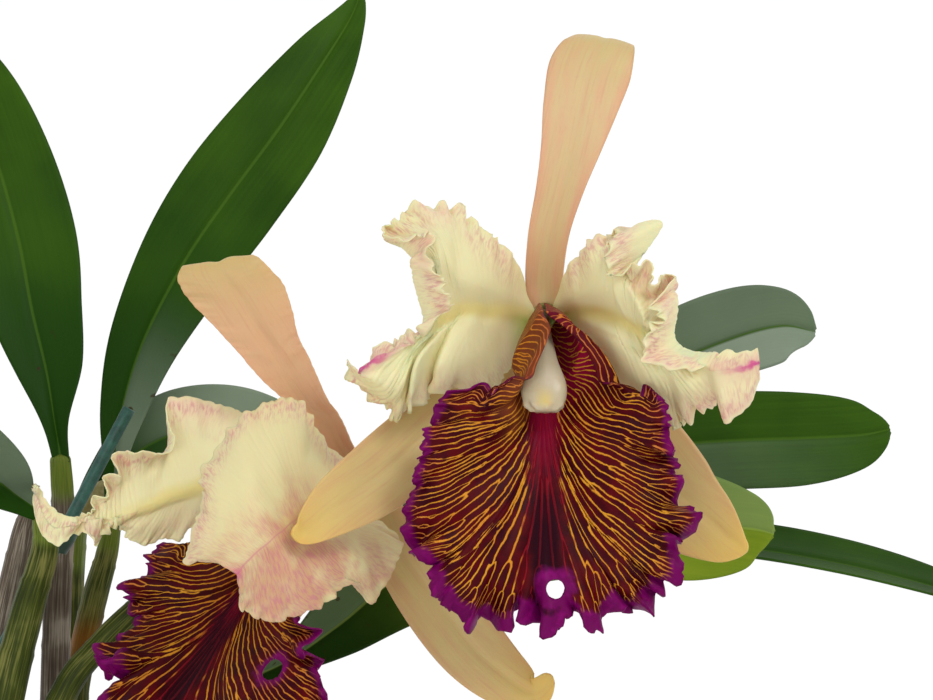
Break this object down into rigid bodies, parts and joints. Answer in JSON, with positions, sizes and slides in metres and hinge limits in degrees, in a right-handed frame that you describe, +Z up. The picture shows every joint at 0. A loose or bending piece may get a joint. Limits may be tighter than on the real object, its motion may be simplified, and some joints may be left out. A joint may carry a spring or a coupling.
{
  "type": "cattleya orchid",
  "caption": "Cattleya orchid in a plain clay pot: slender canes, strap leaves and open blooms with frilled cream petals and a veined maroon lip.",
  "frame": {"origin": "centre of the pot's foot, at floor height", "axes": "+Z up, -Y toward the side that the front bloom faces, +X to the viewer's right when the blooms are seen from the front"},
  "size_m": [0.4048, 0.1933, 0.455],
  "materials": {
    "clay": "matte",
    "bark": "matte",
    "rhizome": "matte",
    "greenCane": "satin",
    "paperCane": "matte",
    "darkLeaf": "satin",
    "youngLeaf": "satin",
    "sheath": "matte",
    "stem": "satin",
    "stake": "satin",
    "clip": "satin",
    "apricotSepal": "satin",
    "goldSepal": "satin",
    "creamPetal": "matte",
    "maroonLip": "satin",
    "ivoryColumn": "satin"
  },
  "bodies": {
    "root": {"pot": "clay", "rhizome": "rhizome", "pseudobulb_1": "paperCane", "pseudobulb_2": "greenCane", "pseudobulb_3": "paperCane", "pseudobulb_4": "greenCane", "pseudobulb_5": "greenCane", "pseudobulb_6": "greenCane", "pseudobulb_7": "paperCane", "pseudobulb_8": "greenCane", "pseudobulb_9": "paperCane", "stake": "stake", "stem_clip": "clip", "potting_mix": "bark", "leaf_1": "darkLeaf", "leaf_2": "darkLeaf", "leaf_3": "darkLeaf", "leaf_4": "darkLeaf", "leaf_5": "darkLeaf", "leaf_6": "darkLeaf", "leaf_7": "youngLeaf", "leaf_8": "darkLeaf", "flower_stem": "stem", "sheath": "sheath", "bloom1_dorsal_sepal": "apricotSepal", "bloom1_sepal_left": "goldSepal", "bloom1_sepal_right": "goldSepal", "bloom1_petal_left": "creamPetal", "bloom1_petal_right": "creamPetal", "bloom1_lip": "maroonLip", "bloom1_column": "ivoryColumn", "bloom2_dorsal_sepal": "apricotSepal", "bloom2_sepal_left": "apricotSepal", "bloom2_sepal_right": "goldSepal", "bloom2_petal_left": "creamPetal", "bloom2_petal_right": "creamPetal", "bloom2_lip": "maroonLip", "bloom2_column": "ivoryColumn"}
  },
  "joints": []
}
